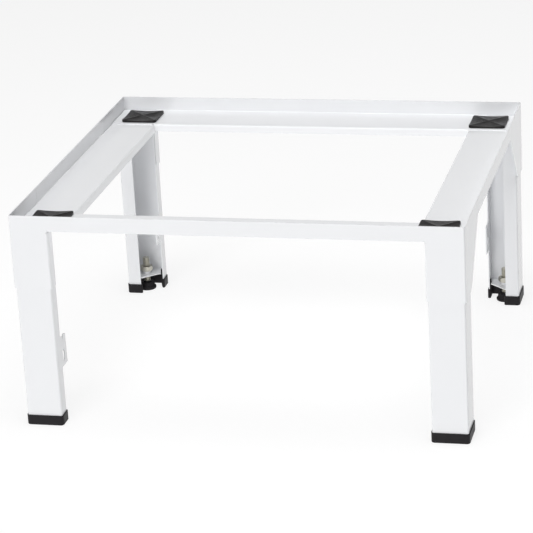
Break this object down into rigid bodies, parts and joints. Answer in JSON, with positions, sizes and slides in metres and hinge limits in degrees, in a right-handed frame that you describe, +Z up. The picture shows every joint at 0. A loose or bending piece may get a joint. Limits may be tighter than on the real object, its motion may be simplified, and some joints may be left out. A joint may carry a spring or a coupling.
{
  "type": "laundry pedestal",
  "caption": "Open stand of folded, powder-coated sheet steel that raises a washing machine or dryer: a rimmed frame on sleeved legs with levelling feet and corner pads.",
  "frame": {"origin": "on the floor, under the middle of the stand", "axes": "+X to the right along the width, +Y to the rear, +Z up"},
  "size_m": [0.6, 0.543, 0.297],
  "materials": {
    "powder_coat": "gloss white",
    "shoe_plastic": "moulded black",
    "pad_rubber": "dark grey, moulded",
    "zinc_steel": "zinc plated"
  },
  "bodies": {
    "root": {"front_frame": "powder_coat", "rear_frame": "powder_coat", "left_rail": "powder_coat", "right_rail": "powder_coat", "leg_front_left": "powder_coat", "leg_front_right": "powder_coat", "leg_rear_left": "powder_coat", "leg_rear_right": "powder_coat", "shoe_front_left": "shoe_plastic", "shoe_front_right": "shoe_plastic", "shoe_rear_left": "shoe_plastic", "shoe_rear_right": "shoe_plastic", "shelf_nut_front_left": "zinc_steel", "shelf_nut_front_right": "zinc_steel", "shelf_nut_rear_left": "zinc_steel", "shelf_nut_rear_right": "zinc_steel", "pad_front_left": "pad_rubber", "pad_front_right": "pad_rubber", "pad_rear_left": "pad_rubber", "pad_rear_right": "pad_rubber", "leg_screws": "zinc_steel", "leg_screw_nuts": "zinc_steel", "rail_screws": "zinc_steel", "rail_screw_nuts": "zinc_steel"},
    "stud_body_front_left": {"stud_front_left": "zinc_steel"},
    "base_body_front_left": {"base_front_left": "shoe_plastic"},
    "stud_body_front_right": {"stud_front_right": "zinc_steel"},
    "base_body_front_right": {"base_front_right": "shoe_plastic"},
    "stud_body_rear_left": {"stud_rear_left": "zinc_steel"},
    "base_body_rear_left": {"base_rear_left": "shoe_plastic"},
    "stud_body_rear_right": {"stud_rear_right": "zinc_steel"},
    "base_body_rear_right": {"base_rear_right": "shoe_plastic"}
  },
  "joints": [
    {"name": "foot_height_front_left", "type": "slide", "parent": "root", "child": "stud_body_front_left", "axis": [0, 0, -1], "range_m": [-0.0062, 0.0155]},
    {"name": "foot_turn_front_left", "type": "hinge", "parent": "stud_body_front_left", "child": "base_body_front_left", "pos_m": [-0.275, -0.246, 0.006], "axis": [0, 0, -1], "range_deg": [-1440, 3600]},
    {"name": "foot_height_front_right", "type": "slide", "parent": "root", "child": "stud_body_front_right", "axis": [0, 0, -1], "range_m": [-0.0062, 0.0155]},
    {"name": "foot_turn_front_right", "type": "hinge", "parent": "stud_body_front_right", "child": "base_body_front_right", "pos_m": [0.275, -0.246, 0.006], "axis": [0, 0, -1], "range_deg": [-1440, 3600]},
    {"name": "foot_height_rear_left", "type": "slide", "parent": "root", "child": "stud_body_rear_left", "axis": [0, 0, -1], "range_m": [-0.0062, 0.0155]},
    {"name": "foot_turn_rear_left", "type": "hinge", "parent": "stud_body_rear_left", "child": "base_body_rear_left", "pos_m": [-0.275, 0.246, 0.006], "axis": [0, 0, -1], "range_deg": [-1440, 3600]},
    {"name": "foot_height_rear_right", "type": "slide", "parent": "root", "child": "stud_body_rear_right", "axis": [0, 0, -1], "range_m": [-0.0062, 0.0155]},
    {"name": "foot_turn_rear_right", "type": "hinge", "parent": "stud_body_rear_right", "child": "base_body_rear_right", "pos_m": [0.275, 0.246, 0.006], "axis": [0, 0, -1], "range_deg": [-1440, 3600]}
  ],
  "couplings": [
    {"joint": "foot_height_front_left", "follows": "foot_turn_front_left", "m_per_rad": 0.00023873},
    {"joint": "foot_height_front_right", "follows": "foot_turn_front_right", "m_per_rad": 0.00023873},
    {"joint": "foot_height_rear_left", "follows": "foot_turn_rear_left", "m_per_rad": 0.00023873},
    {"joint": "foot_height_rear_right", "follows": "foot_turn_rear_right", "m_per_rad": 0.00023873}
  ]
}
